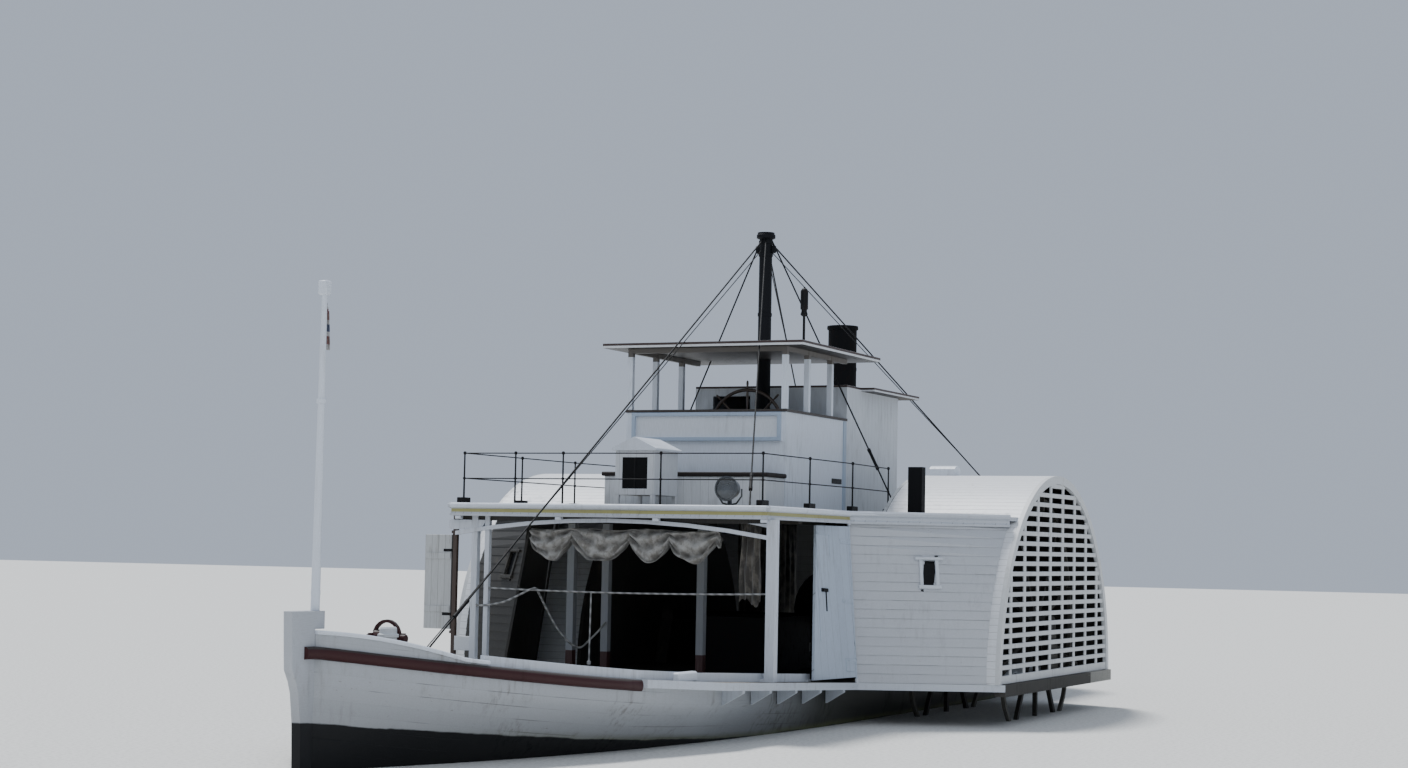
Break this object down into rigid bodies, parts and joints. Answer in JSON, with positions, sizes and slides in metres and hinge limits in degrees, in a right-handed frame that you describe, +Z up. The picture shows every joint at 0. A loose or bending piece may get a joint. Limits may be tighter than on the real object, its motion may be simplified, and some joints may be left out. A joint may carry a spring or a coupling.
{
  "type": "side-wheel paddle steamer",
  "caption": "Wooden side-wheel river paddle steamer, afloat, with slatted paddle boxes, an open fore deck under an upper deck, a wheelhouse, a tall funnel and a stayed mast.",
  "frame": {"origin": "on the centreline at water level, straight below the paddle shaft", "axes": "+X towards the bow, +Y to port, +Z up"},
  "size_m": [23.55, 9.1, 8.45],
  "materials": {
    "white_paint": "weathered semi-gloss paint",
    "beige_boards": "weathered matt paint",
    "blue_white_paint": "semi-gloss paint",
    "oxide_red_paint": "semi-gloss paint",
    "black_wood_paint": "tarred or painted black",
    "bare_timber": "grey bare timber",
    "deck_paint": "worn deck paint",
    "black_iron": "black heat-proof paint",
    "lamp_metal": "dull metal",
    "weathered_canvas": "dirty white canvas"
  },
  "bodies": {
    "vessel": {"aft_house": "white_paint", "backstay_port": "black_iron", "backstay_stbd": "black_iron", "boiler": "black_iron", "bollard": "white_paint", "box_inner_wall_port": "white_paint", "box_inner_wall_stbd": "white_paint", "box_lattice_port": "white_paint", "box_lattice_stbd": "white_paint", "bulwark_port": "white_paint", "bulwark_stbd": "white_paint", "cabin": "white_paint", "cabin_roof": "white_paint", "deck_block": "black_wood_paint", "deck_rail": "black_iron", "engine_block": "black_iron", "flagstaff": "white_paint", "fore_framing": "white_paint", "forestay_port": "black_iron", "forestay_stbd": "black_iron", "funnel": "black_iron", "furled_canvas": "weathered_canvas", "guard_aft_port": "white_paint", "guard_aft_stbd": "white_paint", "guard_fore_port": "white_paint", "guard_fore_stbd": "white_paint", "hull": "white_paint", "hutch": "white_paint", "keel": "black_wood_paint", "mast": "black_wood_paint", "paddle_beam_port": "bare_timber", "paddle_beam_stbd": "bare_timber", "paddle_box_port": "white_paint", "paddle_box_stbd": "white_paint", "rubbing_strake_port": "oxide_red_paint", "rubbing_strake_stbd": "oxide_red_paint", "searchlight": "lamp_metal", "shroud_port": "black_iron", "shroud_stbd": "black_iron", "skylight": "white_paint", "stem": "white_paint", "upper_deck": "white_paint", "wheelhouse": "white_paint", "wheelhouse_floor": "deck_paint", "wheelhouse_roof": "white_paint", "whistle": "black_iron", "windlass": "oxide_red_paint", "wing_wall_aft_port": "beige_boards", "wing_wall_aft_stbd": "beige_boards", "wing_wall_fore_port": "beige_boards", "wing_wall_fore_stbd": "beige_boards"},
    "paddle_wheels": {"paddle_wheel_port": "bare_timber", "paddle_wheel_stbd": "bare_timber", "paddle_shaft": "black_iron"},
    "rudder_body": {"rudder": "oxide_red_paint"},
    "helm": {"steering_wheel": "bare_timber"},
    "door_port": {"side_door_port": "blue_white_paint"},
    "door_stbd": {"side_door_stbd": "blue_white_paint"},
    "shutter": {"shutter_stbd": "white_paint"},
    "cabin_door_leaf": {"cabin_door": "white_paint"}
  },
  "joints": [
    {"name": "paddle_turn", "type": "hinge", "parent": "vessel", "child": "paddle_wheels", "pos_m": [0, 0, 1.4], "axis": [0, 1, 0], "continuous": true},
    {"name": "helm_turn", "type": "hinge", "parent": "vessel", "child": "helm", "pos_m": [2.75, 0.35, 4.33], "axis": [1, 0, 0], "range_deg": [-350, 350]},
    {"name": "rudder_turn", "type": "hinge", "parent": "vessel", "child": "rudder_body", "pos_m": [-8.42, 0, 0], "axis": [0, 0, 1], "range_deg": [-35, 35]},
    {"name": "door_port_swing", "type": "hinge", "parent": "vessel", "child": "door_port", "pos_m": [3.915, 2.625, 0.68], "axis": [-0.0649, -0.094, 0.9935], "range_deg": [0, 95]},
    {"name": "door_stbd_swing", "type": "hinge", "parent": "vessel", "child": "door_stbd", "pos_m": [3.915, -2.625, 0.68], "axis": [-0.0649, 0.094, 0.9935], "range_deg": [-95, 0]},
    {"name": "shutter_swing", "type": "hinge", "parent": "vessel", "child": "shutter", "pos_m": [6.65, -2.468, 1.27], "axis": [0, 0, 1], "range_deg": [-88, 0]},
    {"name": "cabin_door_swing", "type": "hinge", "parent": "vessel", "child": "cabin_door_leaf", "pos_m": [-1.43, 1.078, 3.11], "axis": [0, 0, 1], "range_deg": [-100, 0]}
  ],
  "couplings": [
    {"joint": "rudder_turn", "follows": "helm_turn", "ratio": 0.1}
  ]
}
